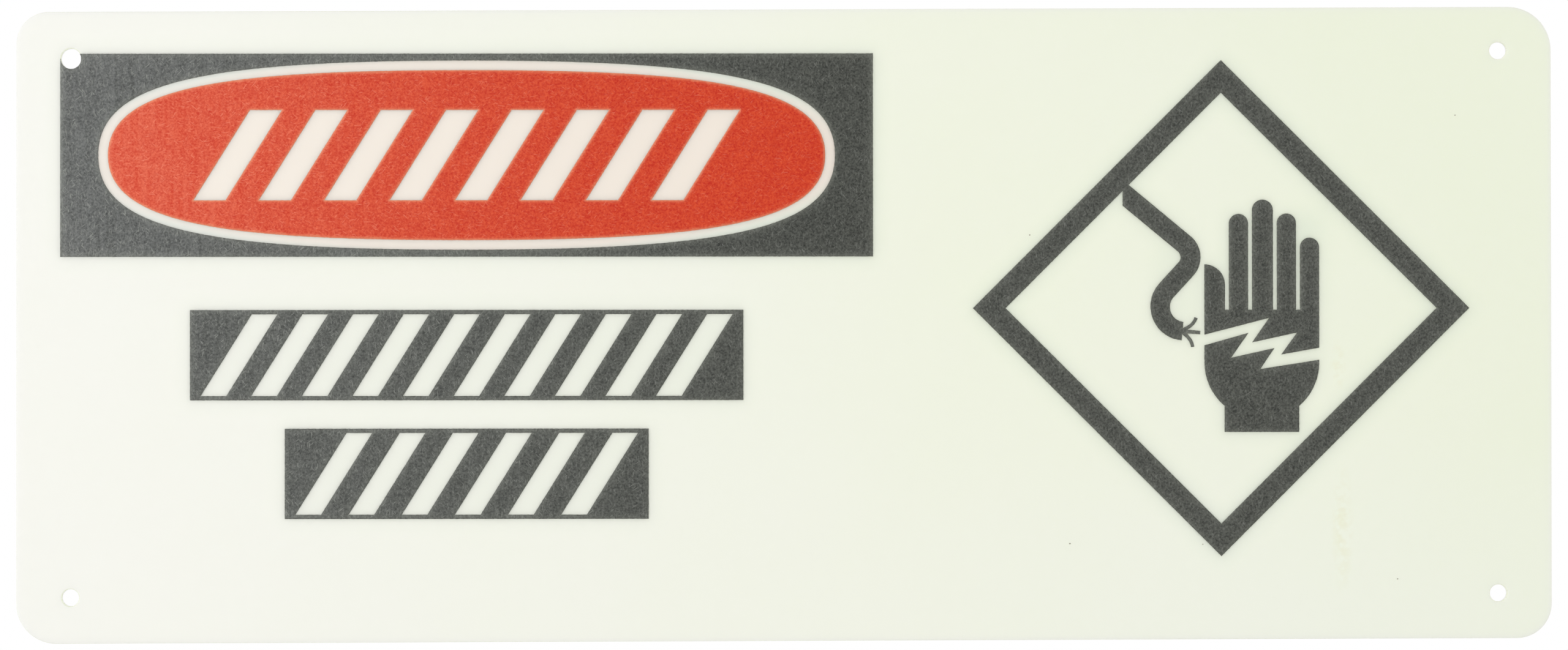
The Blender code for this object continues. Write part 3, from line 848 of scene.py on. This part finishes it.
def flat_film(node, finish, points, next_point):
    """A flat closed plate: a front and a back with the same triangles, and a wall between them."""
    places, triangles = triangulated(outlines[node], points, next_point)
    number = np.arange(len(points))
    quads = np.stack((number, next_point, next_point + len(points), number + len(points)), axis=-1)
    wall = (np.concatenate((at_depth(points, FRONT_Y), at_depth(points, FILM_BASE))), quads)
    front = (at_depth(places, FRONT_Y), triangles)
    back = (at_depth(places, FILM_BASE), triangles)
    return closed_piece(f"{node}_film", ((front, 0, True), (wall, 0, False), (back, 0, False)), (finish,))


def ink_film(node, finish, slot):
    """A closed film over a node's outline, with a front that thins towards its rim.

    Its glow is the sum over the outline of exp(-distance / reach) times the step, over twice the reach: 1 at
    a straight edge, more in a narrow stroke, and nothing far inside.
    """
    reach = GLOW_REACH[slot]
    points, next_point = divided(*outlines[node])
    points = rippled(points, next_point)
    film = flat_film(node, finish, points, next_point)
    mesh = film.data
    place = np.empty(3 * len(mesh.vertices))
    mesh.vertices.foreach_get("co", place)
    place = place.reshape(-1, 3)
    at_front = place[:, 1] < (FRONT_Y + FILM_BASE) / 2
    spacing = np.linalg.norm(points[next_point] - points, axis=1)

    def nearest_and_sent(places):
        away = distances(places, points)
        return np.stack((away.min(axis=1), (np.exp(-away / reach) * spacing).sum(axis=1)), axis=-1)

    near, sent = in_chunks(nearest_and_sent, place[at_front][:, (0, 2)]).T
    share = FILM_EDGE_SHARE + (1 - FILM_EDGE_SHARE) * np.clip(near / FILM_SHOULDER, 0, 1)
    place[at_front, 1] = -SHEET_THICKNESS - FILM_THICKNESS * share
    mesh.vertices.foreach_set("co", place.ravel())
    # The painted light at the edge, kept on the front points only
    glow = np.zeros(len(place))
    glow[at_front] = np.minimum(sent / (2 * reach), GLOW_MOST)
    mesh.attributes.new("edge_glow", "FLOAT", "POINT").data.foreach_set("value", glow)
    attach(film, "root")
    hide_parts(node)


# %% [markdown]
# Each inked node gets its film and finish; the slot of the imported model that it stands for sets only the
# reach of its edge glow. The finer shapes have the thin dark ink, and only the oval is red.

# %% Film of each inked node
FILMS = {
    "header_panel": (dark_ink, "dark_ink"),
    "hand_fingers": (thin_ink, "dark_ink"),
    "hand_heel": (thin_ink, "dark_ink"),
    "upper_caption": (thin_ink, "dark_ink"),
    "lower_caption": (thin_ink, "dark_ink"),
    "warning_diamond": (thin_ink, "dark_ink"),
    "oval_field": (red_ink, "red_ink"),
}
for film_node, (film_finish, film_slot) in FILMS.items():
    ink_film(film_node, film_finish, film_slot)

# %% [markdown]
# A few specks of dirt are caught in the plastic. Each is a low dome, a quarter of a millimetre across, so
# that it stays a speck from every side. One grid of heights serves for all of them: a dome is a function of
# the angle round it and the distance from its middle.

# %% Dirt specks
SPECK_PLACES = (
    (0.0691, 0.0253, 0.00022, 0.00013),
    (0.0803, -0.0616, 0.00024, 0.00016),
    (0.1889, 0.0590, 0.00020, 0.00012),
    (0.1177, -0.0618, 0.00016, 0.00012),
    (0.1725, -0.0716, 0.00018, 0.00014),
)
SPECK_HEIGHT = 0.00006
SPECK_SINK = 0.00003
GRIME_DARK = linear(96, 92, 74)
GRIME_LIGHT = linear(150, 144, 120)

dirt, dirt_tree, dirt_surface = new_finish("dirt", 0.8)
grime = change(dirt_tree, noise(dirt_tree, pattern(dirt_tree), 9000.0), 0.35, 0.65, 0.0, 1.0)
dirt_tree.links.new(blend(dirt_tree, grime, GRIME_DARK, GRIME_LIGHT), dirt_surface.inputs["Base Color"])


def dome(x, z, half_width, half_height):
    """A low dome: circles that shrink by a cosine while they rise by a sine, on a base sunk in the sheet."""
    angle = np.linspace(0, 2 * math.pi, 17)[None, :]
    rise = np.linspace(0, math.pi / 2, 6)[:, None]
    reach = np.concatenate((np.zeros((1, 1)), np.cos(rise)))
    height = np.concatenate((np.full((1, 1), -SPECK_SINK), SPECK_HEIGHT * np.sin(rise)))
    height[1] = -SPECK_SINK
    points_x = x + half_width * reach * np.cos(angle)
    points_z = z + half_height * reach * np.sin(angle)
    points_y = np.broadcast_to(-SHEET_THICKNESS - height, points_x.shape)
    return np.stack((points_x, points_y, points_z), axis=-1)


specks = closed_piece("dirt_specks", [(grid_part(dome(*place)), 0, True) for place in SPECK_PLACES], (dirt,))
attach(specks, "root")

# %% [markdown]
# The light is a plain studio: an even white surround, and a large soft lamp at the left whose broad
# reflection lifts the left end of the dark header, as satin ink does. The surround is white wherever it is
# looked at, straight or in a reflection, and lights the sign at its own lower level.

# %% Light
SURROUND_LEVEL = 0.70
LAMP_SIZE = 0.9
KEY_PLACE = (-1.25, -1.45, 0.35)
KEY_POWER = 11.5
FILL_PLACE = (1.5, -1.3, 0.5)
FILL_POWER = 3.4

world = bpy.data.worlds.new("studio")
bpy.context.scene.world = world
world.use_nodes = True
world_tree = world.node_tree
path = world_tree.nodes.new("ShaderNodeLightPath")
looked_at = combine(world_tree, "MAXIMUM", path.outputs["Is Camera Ray"], path.outputs["Is Glossy Ray"])
looked_at = combine(world_tree, "MAXIMUM", looked_at, path.outputs["Is Transmission Ray"])
background = world_tree.nodes["Background"]
background.inputs["Color"].default_value = (1.0, 1.0, 1.0, 1.0)
level = change(world_tree, looked_at, 0.0, 1.0, SURROUND_LEVEL, 1.0)
world_tree.links.new(level, background.inputs["Strength"])


def soft_lamp(name, place, power):
    """A square area lamp that faces the middle of the sign."""
    light = bpy.data.lights.new(name, "AREA")
    light.shape = "SQUARE"
    light.size = LAMP_SIZE
    light.energy = power
    lamp = bpy.data.objects.new(name, light)
    bpy.context.scene.collection.objects.link(lamp)
    lamp.location = place
    lamp.rotation_euler = (-lamp.location).to_track_quat("-Z", "Y").to_euler()
    print(f"{name}: {power} W")


soft_lamp("key_lamp", KEY_PLACE, KEY_POWER)
soft_lamp("fill_lamp", FILL_PLACE, FILL_POWER)

# %% [markdown]
# The floor lies well below the sign, out of the picture, and is there for the views from the sides and above.
# It is a round disc that fades to the white of the surround towards its rim, so that no horizon cuts through
# a view. The camera sees mostly its own white there, and the rest of the light carries the sign's shadow.

# %% Floor
FLOOR_CENTRE = (0.0, -0.6, -0.26)
FLOOR_RADIUS = 1.2
FLOOR_WHITE = 0.6
FLOOR_DARK = linear(242, 242, 240)
FLOOR_LIGHT = linear(246, 246, 244)


def floor_paint_finish():
    """Pale paint that mixes with its own white where the camera looks, more so towards the rim."""
    finish, tree, surface = new_finish("floor_paint", 0.9)
    tone = change(tree, noise(tree, pattern(tree), 60.0, 4.0), 0.3, 0.7, 0.0, 1.0)
    tree.links.new(blend(tree, tone, FLOOR_DARK, FLOOR_LIGHT), surface.inputs["Base Color"])
    distance = tree.nodes.new("ShaderNodeVectorMath")
    distance.operation = "LENGTH"
    tree.links.new(pattern(tree, (1.0, 1.0, 0.0), 0.0, FLOOR_CENTRE), distance.inputs[0])
    edges = (0.35 * FLOOR_RADIUS, 0.97 * FLOOR_RADIUS)
    fade = change(tree, distance.outputs["Value"], *edges, FLOOR_WHITE, 1.0)
    in_view = tree.nodes.new("ShaderNodeLightPath").outputs["Is Camera Ray"]
    own_white = add(tree, "ShaderNodeEmission", Color=(1.0, 1.0, 1.0, 1.0), Strength=1.0)
    mixed = add(tree, "ShaderNodeMixShader", Fac=combine(tree, "MULTIPLY", fade, in_view))
    tree.links.new(surface.outputs[0], mixed.inputs[1])
    tree.links.new(own_white.outputs[0], mixed.inputs[2])
    tree.links.new(mixed.outputs[0], tree.nodes["Material Output"].inputs["Surface"])
    return finish


floor_angle = np.linspace(2 * math.pi, 0, 97)[None, :]
floor_reach = FLOOR_RADIUS * np.linspace(0, 1, 13)[:, None]
rings = np.broadcast_arrays(floor_reach * np.cos(floor_angle), floor_reach * np.sin(floor_angle), 0.0)
floor_points, floor_quads = grid_part(np.stack(rings, axis=-1) + FLOOR_CENTRE)
floor_mesh = bpy.data.meshes.new("floor")
floor_mesh.from_pydata(floor_points.tolist(), [], floor_quads.tolist())
floor_mesh.materials.append(floor_paint_finish())
floor = bpy.data.objects.new("floor", floor_mesh)
bpy.context.scene.collection.objects.link(floor)
print("floor:", len(floor_quads), "faces")

# %% [markdown]
# Last, the colours go to the picture as they are.

# %% Finish
bpy.context.scene.view_settings.view_transform = "Standard"
